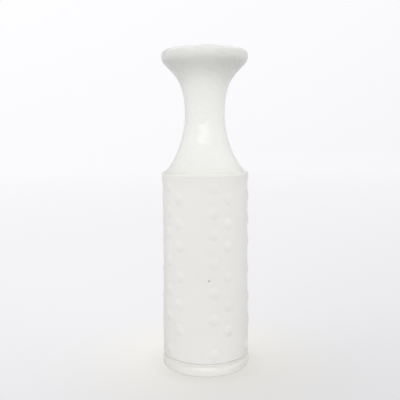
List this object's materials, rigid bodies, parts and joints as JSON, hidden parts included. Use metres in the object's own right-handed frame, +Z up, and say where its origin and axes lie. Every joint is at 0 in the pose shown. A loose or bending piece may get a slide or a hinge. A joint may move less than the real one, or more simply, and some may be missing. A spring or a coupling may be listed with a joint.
{
  "type": "vase",
  "caption": "Tall porcelain vase with a straight bisque body covered in low pips, a glazed neck drawn in to a waist, a flared rounded lip and a glazed foot ring.",
  "frame": {"origin": "centre of the resting ring under the foot, at table level", "axes": "+Z up along the vase's axis, -Y towards the viewer of the picture, +X to that viewer's right"},
  "size_m": [0.0765, 0.0762, 0.27],
  "materials": {
    "bisque_porcelain": "matte",
    "glazed_porcelain": "gloss"
  },
  "bodies": {
    "root": {"foot_ring": "glazed_porcelain", "base_floor": "bisque_porcelain", "body_wall": "bisque_porcelain", "neck": "glazed_porcelain", "lip": "glazed_porcelain", "inner_glaze": "glazed_porcelain"}
  },
  "joints": []
}
